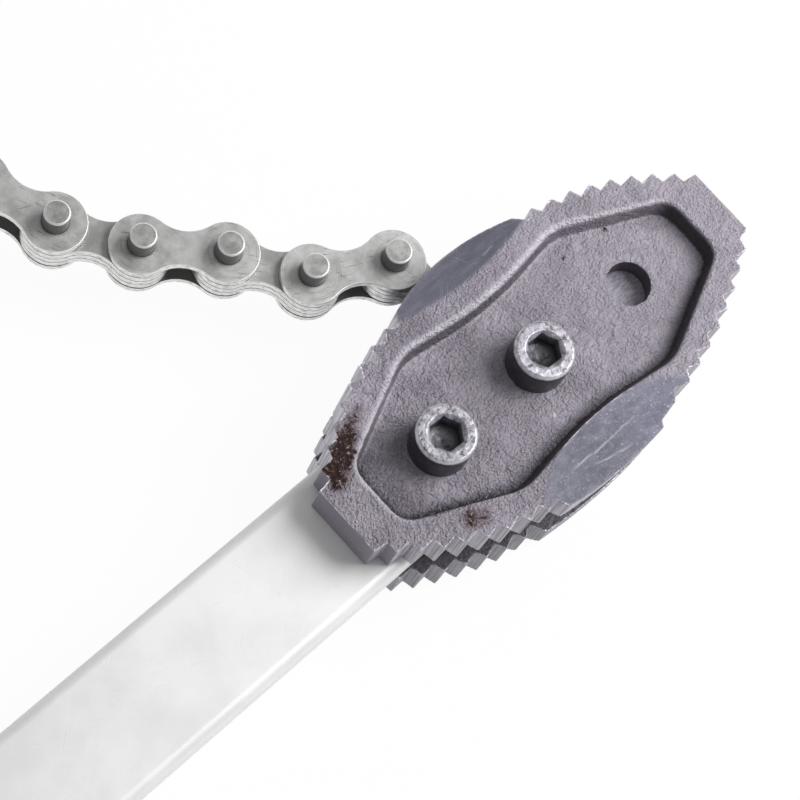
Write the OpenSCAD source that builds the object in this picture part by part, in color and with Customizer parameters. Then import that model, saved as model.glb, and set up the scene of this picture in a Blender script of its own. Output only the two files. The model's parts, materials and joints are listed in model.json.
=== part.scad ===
// Double-ended chain pipe wrench: two toothed jaws bolted on a bar handle, and a leaf chain.
// Sizes are in millimetres. X runs along the handle to the jaw tips, Y to the chain side, Z out of the front jaw.

/* [Jaws] */
// End to end length of a jaw
jaw_length = 135; // [110:1:170]
// Thickness of a jaw at its rim
jaw_t = 12; // [8:0.5:16]
// Width of the flat at each end of a jaw
end_flat = 19.8; // [14:0.2:26]
// Distance between neighbouring bolt holes
hole_pitch = 34.5; // [30:0.5:40]
// Diameter of the bolt holes
hole_d = 12; // [11:0.1:12.6]

/* [Teeth] */
// Radius of the arc that the tooth tips lie on
tooth_arc_r = 82; // [70:1:110]
// Angle of the first tooth on that arc, from the long axis
tooth_first_a = 51.3; // [46:0.1:56]
// Distance from tip to tip along the arc
tooth_pitch = 5.87; // [4.5:0.05:6.2]
// Depth of the teeth
tooth_depth = 2.4; // [1:0.1:3]
// From a tip to the gap on its end side, along the arc
tooth_back = 2.35; // [1.8:0.05:3]
// First tooth back from the end flat
first_back = 4.2; // [3:0.1:5.5]
// First tooth out from the corner of the end flat
first_out = 3.8; // [2.6:0.1:5]
// Teeth on each of the three full edges
tooth_count = 8; // [6:1:9]
// Further teeth on the edge that has the hook for the chain
hook_teeth = 1; // [0:1:2]
// Radius of the flatter tooth arc on that edge
hook_arc_r = 125; // [80:1:160]
// Angle of the first tooth on the flatter arc
hook_first_a = 57.8; // [52:0.1:62]

/* [Crescents] */
// Rise of the chain side crescent above the last tooth gap
top_rise = 7; // [5:0.1:9]
// Radius of the chain side crescent
top_r = 58; // [45:1:200]
// Width of the ground face on the chain side
top_face = 9.2; // [6:0.1:12]
// Radius of the inner edge of that face
top_face_r = 90; // [40:1:120]
// Rise of the other crescent above the last tooth gap
low_rise = 5.6; // [4:0.1:8]
// Radius of the other crescent
low_r = 150; // [90:1:250]
// Width of the ground face on the other side
low_face = 15.6; // [8:0.1:16]
// Radius of the inner edge of that face
low_face_r = 40; // [38:1:70]
// Slope of the ground faces
face_a = 24; // [12:1:26]
// Step from the last tooth gap to the crescent
hook_step = 2.2; // [0.3:0.1:3]
// From the last tooth to the hook, on the edge with the hook
hook_run = 5.9; // [3:0.1:8]
// Depth of the hook's notch under the crescent
hook_notch = 1.6; // [0.5:0.1:3]
// Lean of the notch
hook_lean = 0.4; // [0.1:0.1:1.5]

/* [Pocket] */
// Depth of the recess in a jaw
pocket_depth = 5.7; // [3:0.1:6]
// Solid end beyond the recess
pocket_end_wall = 10.4; // [8:0.1:16]
// Rim beside the end of the recess, in from the corner of the flat
pocket_corner_in = 0.8; // [0.4:0.1:4]
// Rim beside the widest place of the recess
pocket_rim = 5.7; // [4.5:0.1:9]
// Widest place of the recess, out from the last tooth gap
pocket_shoulder = 4; // [2:0.5:8]
// How far the sides draw in at the middle
pocket_waist = 3.7; // [1:0.1:5]
// How far the walls lean in from rim to floor
pocket_draft = 1.5; // [1:0.1:3]
// Cut length of the outer corners
pocket_round = 4; // [1:0.5:6]
// Length over which the middle curves
pocket_bend = 15; // [6:0.5:17]

/* [Screws] */
// Thread diameter of the jaw screws
screw_d = 10; // [8:0.5:10]
// Length of the screws under the head
screw_l = 30; // [28:1:31]
// Head diameter
head_d = 16; // [14:0.5:18]
// Head height
head_h = 10; // [8:0.5:12]
// Hexagon socket across its flats
socket_af = 8; // [5:0.5:9]
// Depth of the socket
socket_depth = 5.5; // [4:0.1:6.5]
// Drill point below the socket
socket_point = 1.3; // [0.4:0.1:2]
// Angle of a socket corner from the long axis
socket_a = -3; // [-30:1:30]
// Chamfer round the head
head_chamfer = 0.9; // [0.3:0.1:1.5]
// Nut across its flats
nut_af = 16; // [15:0.5:18]
// Nut height
nut_h = 5; // [4:0.1:5.6]

/* [Handle] */
// Width of the bar
handle_w = 33; // [28:0.5:36]
// Thickness of the bar, which keeps the jaws apart
handle_t = 13; // [12.8:0.1:18]
// Rounding of the long edges
handle_edge = 3; // [1:0.1:5]
// From the middle screw to the free end
handle_back = 450; // [300:5:700]
// Tongue beyond the spare bolt hole
tongue_over = 11.5; // [8:0.5:16]

/* [Chain] */
// Distance between chain pins
link_pitch = 22; // [20:0.1:24]
// Thickness of a plate
plate_t = 2.15; // [1.6:0.05:2.3]
// Radius of a plate's ends
link_r = 8.3; // [7:0.1:9]
// Width of a plate at its waist
link_waist = 9.4; // [7:0.1:12]
// Diameter of the pins
pin_d = 7; // [5:0.1:8]
// How far a pin stands out on each side
pin_out = 5.8; // [4:0.1:8]
// Chamfer on the pin ends
pin_chamfer = 0.35; // [0.2:0.05:1.2]
// Anchor pin out from the centre line
anchor_y = 23.1; // [22:0.1:26]
// Wall of the ear round the anchor pin
ear_wall = 4.3; // [3:0.1:5]
// Direction of each link as the chain lies, from the anchor to the free end
link_dirs = [105.3, 151.6, 125.8, 135.8, 125.5, 110.5, 95.5, 80.5, 65.5, 50.5, 35.5, 20.5];

/* [Clearances] */
// Between a pin and the plates that turn on it
turn_clear = 0.06; // [0.02:0.01:0.1]
// Between a pin and the plates that hold it
hold_clear = 0.02; // [0.01:0.01:0.05]
// Between neighbouring links, side by side
side_gap = 0.35; // [0.3:0.05:0.6]
// Between the leaves of an inner link
leaf_gap = 0.1; // [0.05:0.01:0.2]
// Between a screw and the bar
bolt_clear = 0.5; // [0.2:0.1:0.8]
// Between a screw and its nut
nut_clear = 0.03; // [0.01:0.01:0.1]
// Between the first link and the bottom of the fork
fork_clear = 0.6; // [0.3:0.1:1.5]

/* [Hidden] */
$fn = 64;

eps = 0.01;
over = 1;
web_t = jaw_t - pocket_depth;
half_gap = handle_t / 2;
floor_z = half_gap + web_t;
rim_z = half_gap + jaw_t;

// Toothed edge of one quarter of the outline, on an arc of radius r from angle a
first_tip = [jaw_length / 2 - first_back, end_flat / 2 + first_out];

function heading(a) = [cos(a), sin(a)];
function on_arc(r, a, k, d) = first_tip - r * heading(a) + (r - d) * heading(a + k * tooth_pitch / r * 180 / PI);
function tip_at(r, a, k) = on_arc(r, a, k, 0);
function gap_at(r, a, k) = on_arc(r, a, k - tooth_back / tooth_pitch, tooth_depth);
function toothed(r, a, n) = concat([[jaw_length / 2, end_flat / 2]],
                                   [for (k = [0 : n - 1]) each [gap_at(r, a, k), tip_at(r, a, k)]]);
function signed(points, sx, sy) = [for (p = points) [sx * p[0], sy * p[1]]];
function backwards(points) = [for (i = [len(points) - 1 : -1 : 0]) points[i]];

// Crescent from one end to the other, on the chain side
last_gap = on_arc(tooth_arc_r, tooth_first_a, tooth_count - 0.5, tooth_depth);
horn_x = last_gap[0] - hook_step;
top_peak = last_gap[1] + top_rise;
low_peak = last_gap[1] + low_rise;

function arch(x, peak, r) = peak - r + sqrt(r * r - x * x);
function crescent(x0, x1, peak, r, n) =
    [for (i = [0 : n]) let (x = x0 + (x1 - x0) * i / n) [x, arch(x, peak, r)]];

// Hook for the chain's pins, on the edge with more teeth
hook_x = tip_at(hook_arc_r, hook_first_a, tooth_count + hook_teeth - 1)[0] - hook_run;
hook_floor = [hook_x + hook_lean, arch(hook_x, low_peak, low_r) - hook_notch];

plain_edge = concat(toothed(tooth_arc_r, tooth_first_a, tooth_count), [last_gap]);
hook_edge = concat(toothed(hook_arc_r, hook_first_a, tooth_count + hook_teeth), [hook_floor]);
jaw_points = concat(
    plain_edge,
    crescent(horn_x, -horn_x, top_peak, top_r, 24),
    backwards(signed(plain_edge, -1, 1)),
    signed(plain_edge, -1, -1),
    signed(crescent(-horn_x, hook_x, low_peak, low_r, 24), 1, -1),
    backwards(signed(hook_edge, 1, -1)));

// Recess outline at its rim and at its floor
pocket_end = jaw_length / 2 - pocket_end_wall;
pocket_corner = end_flat / 2 - pocket_corner_in;
shoulder_x = last_gap[0] + pocket_shoulder;
shoulder_y = last_gap[1] - pocket_rim;
waist_y = shoulder_y - pocket_waist;

function pocket_quarter(d) = [[pocket_end - d, pocket_corner - 0.4 * d], [shoulder_x, shoulder_y - d]];
function pocket_corners(d) = concat(
    pocket_quarter(d), [[0, waist_y - d]],
    backwards(signed(pocket_quarter(d), -1, 1)),
    signed(pocket_quarter(d), -1, -1), [[0, d - waist_y]],
    backwards(signed(pocket_quarter(d), 1, -1)));
function toward(a, b, d) = a + (b - a) * min(d / norm(b - a), 0.49);
function bent(a, b, c, d, n) =
    let (s = toward(b, a, d), e = toward(b, c, d))
    [for (i = [0 : n]) let (t = i / n) (1 - t) * (1 - t) * s + 2 * t * (1 - t) * b + t * t * e];
function softened(p) = [for (i = [0 : len(p) - 1])
    each bent(p[(i + len(p) - 1) % len(p)], p[i], p[(i + 1) % len(p)],
              abs(p[i][0]) < eps ? pocket_bend : pocket_round, abs(p[i][0]) < eps ? 8 : 4)];

// Chain pins, the first one being the anchor
anchor = [0, anchor_y];
function pin_at(i) = i == 0 ? anchor : pin_at(i - 1) + link_pitch * [cos(link_dirs[i - 1]), sin(link_dirs[i - 1])];
inner_half = 1.5 * plate_t + leaf_gap;
stack_half = inner_half + side_gap + plate_t;
pin_half = stack_half + pin_out;
ear_r = pin_d / 2 + ear_wall;

// Origin at the mouth of the spare bolt hole
module place() {
    translate([-hole_pitch, 0, -floor_z])
        children();
}

// Recess as a solid, floor to above the rim
module pocket() {
    low = softened(pocket_corners(pocket_draft));
    high = softened(pocket_corners(-pocket_draft * over / pocket_depth));
    n = len(low);
    polyhedron(
        points = concat([for (p = low) [p[0], p[1], floor_z]], [for (p = high) [p[0], p[1], rim_z + over]]),
        faces = concat([[for (i = [0 : n - 1]) i]], [[for (i = [n - 1 : -1 : 0]) n + i]],
                       [for (i = [0 : n - 1]) [n + i, n + (i + 1) % n, (i + 1) % n, i]]));
}

// Grinding cone whose edge on the rim plane has radius r
module face_cut(y_edge, r, side) {
    run = 1 / tan(face_a);
    deep = min(jaw_t, r / run);
    translate([0, side * (y_edge + r), rim_z - deep])
        cylinder(h = deep + over, r1 = r - deep * run, r2 = r + over * run);
}

module jaw() {
    difference() {
        translate([0, 0, half_gap])
            linear_extrude(height = jaw_t)
                polygon(jaw_points);
        pocket();
        face_cut(top_peak - top_face, top_face_r, 1);
        face_cut(low_peak - low_face, low_face_r, -1);
        for (x = [-hole_pitch, 0, hole_pitch])
            translate([x, 0, half_gap - over])
                cylinder(h = jaw_t + 2 * over, d = hole_d);
    }
}

module front_jaw() {
    color([0.42, 0.4, 0.44])
        place() jaw();
}

module rear_jaw() {
    color([0.36, 0.34, 0.38])
        place() mirror([0, 0, 1]) jaw();
}

// Bar with four rounded long edges
module bar(x0, x1) {
    flat_y = handle_w / 2 - handle_edge;
    flat_z = handle_t / 2 - handle_edge;
    translate([x0, -flat_y, -handle_t / 2])
        cube([x1 - x0, 2 * flat_y, handle_t]);
    translate([x0, -handle_w / 2, -flat_z])
        cube([x1 - x0, handle_w, 2 * flat_z]);
    for (y = [-flat_y, flat_y], z = [-flat_z, flat_z])
        translate([x0, y, z])
            rotate([0, 90, 0])
                cylinder(h = x1 - x0, r = handle_edge);
}

// Half-round end with the same edges as the bar
module round_end(x) {
    flat_y = handle_w / 2 - handle_edge;
    flat_z = handle_t / 2 - handle_edge;
    translate([x, 0, 0])
        rotate_extrude() {
            translate([0, -handle_t / 2])
                square([flat_y, handle_t]);
            translate([0, -flat_z])
                square([handle_w / 2, 2 * flat_z]);
            for (z = [-flat_z, flat_z])
                translate([flat_y, z])
                    circle(r = handle_edge);
        }
}

module handle() {
    fork = link_r + fork_clear;
    slot_half = inner_half + side_gap;
    color([0.86, 0.86, 0.85])
        place()
            difference() {
                union() {
                    bar(handle_w / 2 - handle_back, hole_pitch + tongue_over);
                    round_end(handle_w / 2 - handle_back);
                    translate([-ear_r, 0, -handle_t / 2])
                        cube([2 * ear_r, anchor[1], handle_t]);
                    translate([anchor[0], anchor[1], -handle_t / 2])
                        cylinder(h = handle_t, r = ear_r);
                }
                for (x = [-hole_pitch, 0])
                    translate([x, 0, -handle_t])
                        cylinder(h = 2 * handle_t, d = screw_d + 2 * bolt_clear);
                translate([-2 * fork, anchor[1], -slot_half])
                    cube([4 * fork, 2 * fork, 2 * slot_half]);
                translate([anchor[0], anchor[1], -slot_half])
                    cylinder(h = 2 * slot_half, r = fork);
                translate([anchor[0], anchor[1], -handle_t])
                    cylinder(h = 2 * handle_t, d = pin_d + 2 * hold_clear);
            }
}

module cap_screw() {
    socket_z = head_h - socket_depth;
    difference() {
        union() {
            cylinder(h = head_h - head_chamfer, d = head_d);
            translate([0, 0, head_h - head_chamfer])
                cylinder(h = head_chamfer, d1 = head_d, d2 = head_d - 2 * head_chamfer);
            translate([0, 0, -screw_l])
                cylinder(h = screw_l + eps, d = screw_d);
        }
        translate([0, 0, socket_z])
            rotate(socket_a)
                cylinder(h = socket_depth + over, d = socket_af / cos(30), $fn = 6);
        translate([0, 0, socket_z - socket_point])
            cylinder(h = socket_point + eps, d1 = 0, d2 = socket_af - 2 * eps);
    }
}

module jaw_screws() {
    color([0.25, 0.25, 0.26])
        place()
            for (x = [-hole_pitch, 0])
                translate([x, 0, floor_z])
                    cap_screw();
}

module thin_nut() {
    corner = nut_af / cos(30);
    bevel = (corner - nut_af) / 2 * tan(30);
    difference() {
        intersection() {
            cylinder(h = nut_h, d = corner, $fn = 6);
            union() {
                cylinder(h = nut_h - bevel, d = corner + over);
                translate([0, 0, nut_h - bevel])
                    cylinder(h = bevel, d1 = corner, d2 = nut_af);
            }
        }
        translate([0, 0, -over])
            cylinder(h = nut_h + 2 * over, d = screw_d + 2 * nut_clear);
    }
}

module jaw_nuts() {
    color([0.5, 0.5, 0.52])
        place()
            for (x = [-hole_pitch, 0])
                translate([x, 0, -floor_z])
                    rotate([180, 0, 0])
                        thin_nut();
}

module anchor_pin() {
    color([0.6, 0.6, 0.6])
        place()
            translate([anchor[0], anchor[1], -handle_t / 2])
                cylinder(h = handle_t, d = pin_d);
}

// One plate along X, from its first pin, with its lower face at z
module plate(z, bore) {
    side_r = (link_pitch * link_pitch / 4 + link_waist * link_waist / 4 - link_r * link_r)
             / (2 * link_r - link_waist);
    side_y = link_waist / 2 + side_r;
    touch = atan2(side_y, link_pitch / 2);
    flank_x = link_r * cos(touch);
    flank_y = link_r * sin(touch);
    translate([0, 0, z])
        difference() {
            union() {
                for (x = [0, link_pitch])
                    translate([x, 0, 0])
                        cylinder(h = plate_t, r = link_r);
                translate([flank_x, -flank_y, 0])
                    cube([link_pitch - 2 * flank_x, 2 * flank_y, plate_t]);
            }
            for (s = [-1, 1])
                translate([link_pitch / 2, s * side_y, -over])
                    cylinder(h = plate_t + 2 * over, r = side_r);
            for (x = [0, link_pitch])
                translate([x, 0, -over])
                    cylinder(h = plate_t + 2 * over, d = pin_d + 2 * bore);
        }
}

module along_link(i) {
    place()
        translate([pin_at(i - 1)[0], pin_at(i - 1)[1], 0])
            rotate(link_dirs[i - 1])
                children();
}

module inner_plates(i) {
    color([0.55, 0.56, 0.55])
        along_link(i)
            for (k = [-1, 0, 1])
                plate(k * (plate_t + leaf_gap) - plate_t / 2, turn_clear);
}

module outer_plates(i) {
    color([0.63, 0.64, 0.63])
        along_link(i) {
            plate(stack_half - plate_t, hold_clear);
            plate(-stack_half, hold_clear);
        }
}

module link_pins(i) {
    color([0.72, 0.72, 0.7])
        along_link(i)
            for (x = [0, link_pitch])
                translate([x, 0, 0]) {
                    body = pin_half - pin_chamfer;
                    translate([0, 0, -body])
                        cylinder(h = 2 * body, d = pin_d);
                    translate([0, 0, body])
                        cylinder(h = pin_chamfer, d1 = pin_d, d2 = pin_d - 2 * pin_chamfer);
                    translate([0, 0, -pin_half])
                        cylinder(h = pin_chamfer, d1 = pin_d - 2 * pin_chamfer, d2 = pin_d);
                }
}

handle();
front_jaw();
rear_jaw();
jaw_screws();
jaw_nuts();
anchor_pin();
inner_plates(1);  // link_01_plates
outer_plates(2);  // link_02_plates
link_pins(2);  // link_02_pins
inner_plates(3);  // link_03_plates
outer_plates(4);  // link_04_plates
link_pins(4);  // link_04_pins
inner_plates(5);  // link_05_plates
outer_plates(6);  // link_06_plates
link_pins(6);  // link_06_pins
inner_plates(7);  // link_07_plates
outer_plates(8);  // link_08_plates
link_pins(8);  // link_08_pins
inner_plates(9);  // link_09_plates
outer_plates(10);  // link_10_plates
link_pins(10);  // link_10_pins
inner_plates(11);  // link_11_plates
outer_plates(12);  // link_12_plates
link_pins(12);  // link_12_pins
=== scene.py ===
import json
import math

import bmesh
import bpy
import numpy as np
from mathutils import Matrix, Vector
from mathutils.bvhtree import BVHTree
from mathutils.kdtree import KDTree


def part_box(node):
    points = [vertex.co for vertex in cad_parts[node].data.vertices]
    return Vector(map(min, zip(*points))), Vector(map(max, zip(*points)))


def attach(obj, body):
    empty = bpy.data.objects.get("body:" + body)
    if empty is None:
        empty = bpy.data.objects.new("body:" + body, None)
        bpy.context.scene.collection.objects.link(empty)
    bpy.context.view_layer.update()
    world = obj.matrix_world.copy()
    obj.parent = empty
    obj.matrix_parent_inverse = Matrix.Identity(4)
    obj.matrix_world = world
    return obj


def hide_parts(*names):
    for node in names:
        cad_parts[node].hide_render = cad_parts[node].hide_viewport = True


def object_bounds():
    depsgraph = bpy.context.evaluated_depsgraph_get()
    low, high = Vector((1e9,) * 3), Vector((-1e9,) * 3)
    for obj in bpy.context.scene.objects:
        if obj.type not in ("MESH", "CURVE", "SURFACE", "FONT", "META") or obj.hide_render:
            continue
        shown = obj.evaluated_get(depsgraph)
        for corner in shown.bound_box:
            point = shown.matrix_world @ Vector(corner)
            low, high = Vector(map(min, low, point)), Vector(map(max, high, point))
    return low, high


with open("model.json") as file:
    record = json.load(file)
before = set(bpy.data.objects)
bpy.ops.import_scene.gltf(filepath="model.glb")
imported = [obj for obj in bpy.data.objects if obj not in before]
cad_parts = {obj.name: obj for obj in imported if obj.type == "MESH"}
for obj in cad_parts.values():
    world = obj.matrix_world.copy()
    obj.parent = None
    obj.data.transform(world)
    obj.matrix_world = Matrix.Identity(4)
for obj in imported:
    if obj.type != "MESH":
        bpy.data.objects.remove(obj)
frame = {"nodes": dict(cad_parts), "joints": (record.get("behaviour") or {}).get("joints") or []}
cadBox = [list(corner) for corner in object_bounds()]
cadNodes = frame["nodes"]
scene = bpy.context.scene
mm = 0.001
print("frame loaded:", len(cadNodes), "nodes")


# Camera, matched to the picture's perspective
camera = {
    "place": (-0.3132, -0.0607, 0.6114),
    "right": (0.711633, -0.672937, 0.201825),
    "up": (0.597570, 0.730847, 0.329807),
    "lens": 120.47, "sensor": 36.0, "near": 0.01,
}

right, up = Vector(camera["right"]), Vector(camera["up"])
facing = Matrix((right, up, right.cross(up))).transposed().to_4x4()
cameraData = bpy.data.cameras.new("wrenchCamera")
cameraData.sensor_width = camera["sensor"]
cameraData.lens = camera["lens"]
cameraData.clip_start = camera["near"]
cameraObject = bpy.data.objects.new("wrenchCamera", cameraData)
cameraObject.matrix_world = Matrix.Translation(camera["place"]) @ facing
scene.collection.objects.link(cameraObject)
scene.camera = cameraObject
scene.view_settings.view_transform = "Standard"
print("camera set")


# Node helpers, which write to the tree on the bench
bench = {"tree": None}


def tint(*screen):  # screen colour, 0 to 255, as a shader colour
    shares = [level / 255 for level in screen]
    return tuple(c / 12.92 if c <= 0.04045 else ((c + 0.055) / 1.055) ** 2.4 for c in shares) + (1,)


def feed(value, socket):  # a plain value, or the output of another node
    if isinstance(value, bpy.types.NodeSocket):
        bench["tree"].links.new(value, socket)
    else:
        socket.default_value = value


def put(kind, inputs=None, **settings):
    made = bench["tree"].nodes.new("ShaderNode" + kind)
    for key, value in settings.items():
        setattr(made, key, value)
    for key, value in (inputs or {}).items():
        feed(value, made.inputs[key])
    return made


def calc(operation, a, b=0.0, clamp=False):
    return put("Math", {0: a, 1: b}, operation=operation, use_clamp=clamp).outputs[0]


def chained(operation, values):
    total = values[0]
    for value in values[1:]:
        total = calc(operation, total, value)
    return total


def times(*values):
    return chained("MULTIPLY", values)


def plus(*values):
    return chained("ADD", values)


def most(*values):
    return chained("MAXIMUM", values)


def minus(a, b):
    return calc("SUBTRACT", a, b)


def without(mask):  # the share that a mask leaves
    return minus(1.0, mask)


def centred(noise):  # noise about zero
    return minus(noise, 0.5)


def fade(value, low, high, start=0.0, end=1.0):  # smooth step from low to high
    sockets = {"Value": value, "From Min": low, "From Max": high, "To Min": start, "To Max": end}
    return put("MapRange", sockets, interpolation_type="SMOOTHSTEP").outputs["Result"]


def speckle(vector, scale, detail=2.0, rough=0.5, twist=0.0):
    sockets = {"Vector": vector, "Scale": scale, "Detail": detail, "Roughness": rough, "Distortion": twist}
    return put("TexNoise", sockets).outputs["Fac"]


def stretch(vector, scale, turn=0.0):
    sockets = {"Vector": vector, "Scale": scale, "Rotation": (0.0, 0.0, turn)}
    return put("Mapping", sockets).outputs["Vector"]


def combed(vector, along, across, turn):  # stretched along a direction on the plan
    sockets = {"Vector": vector, "Rotation": (0.0, 0.0, turn), "Scale": (1 / along, 1 / across, 1 / along)}
    return put("Mapping", sockets, vector_type="TEXTURE").outputs["Vector"]


def scaled(vector, factor):
    return put("VectorMath", {0: vector, "Scale": factor}, operation="SCALE").outputs[0]


def axesOf(vector):
    return put("SeparateXYZ", {0: vector}).outputs


def meshMask(key):
    return put("Attribute", attribute_name=key).outputs["Fac"]


def effect(group, inputs):
    return put("Group", inputs, node_tree=group).outputs


def mixValue(factor, a, b):
    return put("Mix", {0: factor, 2: a, 3: b}).outputs[0]


def mixColour(factor, a, b):
    return put("Mix", {0: factor, 6: a, 7: b}, data_type="RGBA").outputs[2]


def coat(skin, colour, mask, amount):  # a colour over the skin where the mask is
    return mixColour(times(mask, amount), skin, colour)


def emboss(shader, height, relief):
    bump = put("Bump", {"Height": height, "Strength": 1.0, "Distance": relief})
    feed(bump.outputs[0], shader["Normal"])


def startGroup(name, inputs, outputs):  # what it takes beside a place, and what it gives
    tree = bench["tree"] = bpy.data.node_groups.new(name, "ShaderNodeTree")
    tree.interface.new_socket("Vector", in_out="INPUT", socket_type="NodeSocketVector")
    for side, labels in (("INPUT", inputs), ("OUTPUT", outputs)):
        for label in labels:
            tree.interface.new_socket(label, in_out=side, socket_type="NodeSocketFloat")
    return tree, tree.nodes.new("NodeGroupInput").outputs, tree.nodes.new("NodeGroupOutput").inputs


def startMaterial(name):
    material = bpy.data.materials.new(name)
    material.use_nodes = True
    bench["tree"] = material.node_tree
    return material, material.node_tree.nodes["Principled BSDF"].inputs, put("TexCoord").outputs["Object"]


# Shared surface effects
sandGrain = {
    "drawn": (0.85, 1.0, 1.0),  # the sand lines run a little along the jaw
    "fineSize": 2.2, "broadSize": 0.3, "ridgeSize": 0.16, "speckSize": 1.4,  # against the lumps
    "coarseDetail": 1.5, "fineDetail": 1.0, "broadTwist": 0.6, "ridgeTwist": 0.8,
    "fineShare": 0.4, "broadShare": 1.15, "ridgeShare": 0.1,
    "zoneSize": 70.0, "zone": (0.36, 0.6, 0.45, 1.0),  # rougher and smoother places
    "ridge": (0.09, 0.0), "wrinkledSize": 160.0, "wrinkled": (0.48, 0.62),
    "hollow": (0.46, 0.32), "peak": (0.54, 0.68), "speck": (0.7, 0.76), "speckled": (0.42, 0.6),
}


def castGrainGroup(form):
    tree, given, result = startGroup("castGrain", ("Lumps",), ("Height", "Hollow", "Peak", "Glint"))
    place, lumps = given["Vector"], given["Lumps"]
    drawn = stretch(place, form["drawn"])
    sizes = {key: times(lumps, form[key + "Size"]) for key in ("fine", "broad", "ridge", "speck")}
    coarse = speckle(drawn, lumps, form["coarseDetail"])
    fine = centred(speckle(drawn, sizes["fine"], form["fineDetail"]))
    broad = speckle(drawn, sizes["broad"], twist=form["broadTwist"])
    zone = fade(speckle(place, form["zoneSize"]), *form["zone"])
    ridge = speckle(drawn, sizes["ridge"], form["fineDetail"], twist=form["ridgeTwist"])
    ridge = calc("ABSOLUTE", centred(ridge))
    wrinkled = fade(speckle(place, form["wrinkledSize"]), *form["wrinkled"])
    wrinkle = times(fade(ridge, *form["ridge"]), wrinkled, form["ridgeShare"])
    grit = times(plus(centred(coarse), times(fine, form["fineShare"])), zone)
    height = plus(grit, times(centred(broad), form["broadShare"]), wrinkle)
    # painted glints: bright specks on the grain
    specks = fade(speckle(place, sizes["speck"]), *form["speck"])
    feed(height, result["Height"])
    feed(times(fade(coarse, *form["hollow"]), zone), result["Hollow"])
    feed(times(fade(coarse, *form["peak"]), zone), result["Peak"])
    feed(times(specks, fade(broad, *form["speckled"])), result["Glint"])
    return tree


hairLines = {
    "layers": ((0.4, 0.0), (-0.7, 3.0), (1.35, 7.0)),  # turn and shift of each
    "drawn": (90.0, 4200.0, 300.0), "hair": (0.62, 0.74), "patchSize": 160.0, "patch": (0.5, 0.66),
}


def scratchGroup(form):
    tree, given, result = startGroup("fineScratches", ("Scale", "Amount"), ("Mask",))
    sized = scaled(given["Vector"], given["Scale"])
    layers = []
    for turn, shift in form["layers"]:
        sockets = {"Vector": sized, "Rotation": (0.0, 0.0, turn), "Location": (shift, shift, 0.0)}
        line = put("Mapping", sockets).outputs["Vector"]
        hair = fade(speckle(stretch(line, form["drawn"]), 1.0, 1.0), *form["hair"])
        layers.append(times(hair, fade(speckle(line, form["patchSize"]), *form["patch"])))
    feed(calc("MULTIPLY", most(*layers), given["Amount"], True), result["Mask"])
    return tree


rubbing = {
    "blotchNoise": (4.0, 0.6), "blotch": (0.3, 0.7),
    "rubNoise": (700.0, 3.0, 0.6), "worn": (0.35, 0.8), "wornEnd": (0.02, 0.2),
}


def blotchGroup(form):
    tree, given, result = startGroup("toneBlotches", ("Scale",), ("Tone",))
    clouds = speckle(given["Vector"], given["Scale"], *form["blotchNoise"])
    feed(fade(clouds, *form["blotch"]), result["Tone"])
    return tree


def edgeWearGroup(form):
    tree, given, result = startGroup("edgeWear", ("Edge", "Breakup"), ("Mask",))
    rub = times(centred(speckle(given["Vector"], *form["rubNoise"])), given["Breakup"])
    worn = fade(plus(given["Edge"], rub), *form["worn"])
    feed(times(worn, fade(given["Edge"], *form["wornEnd"])), result["Mask"])
    return tree


castGrain, fineScratches = castGrainGroup(sandGrain), scratchGroup(hairLines)
toneBlotches, edgeWear = blotchGroup(rubbing), edgeWearGroup(rubbing)


def hairs(place, size, amount):
    return effect(fineScratches, {"Vector": place, "Scale": size, "Amount": amount})["Mask"]


def blotches(place, size):
    return effect(toneBlotches, {"Vector": place, "Scale": size})["Tone"]


def wornEdge(place, edge, breakup):
    return effect(edgeWear, {"Vector": place, "Edge": edge, "Breakup": breakup})["Mask"]


deepScratch = {
    "waverSize": 220.0, "waver": 1.2 * mm, "grown": 0.2, "shrinks": 0.7,  # shares of its length
    "breaks": (260.0, 1500.0, 1.0), "breakNoise": (1.0, 3.0, 0.6), "broken": (0.3, 0.6),
}


def stroke(place, start, end, width):  # one scratch from start to end, in mm on the plan
    dx, dy = end[0] - start[0], end[1] - start[1]
    length, turn = math.hypot(dx, dy) * mm, math.atan2(dy, dx)
    sockets = {"Vector": place, "Location": (start[0] * mm, start[1] * mm, 0.0), "Rotation": (0.0, 0.0, turn)}
    laid = put("Mapping", sockets, vector_type="TEXTURE").outputs["Vector"]
    axes = axesOf(laid)
    waver = times(centred(speckle(place, deepScratch["waverSize"])), deepScratch["waver"])
    aside = fade(calc("ABSOLUTE", plus(axes["Y"], waver)), width * mm, 0.0)
    grown = fade(axes["X"], 0.0, deepScratch["grown"] * length)
    shrunk = fade(axes["X"], length, deepScratch["shrinks"] * length)
    breaks = speckle(stretch(laid, deepScratch["breaks"]), *deepScratch["breakNoise"])
    return times(aside, times(grown, shrunk), fade(breaks, *deepScratch["broken"]))


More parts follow.
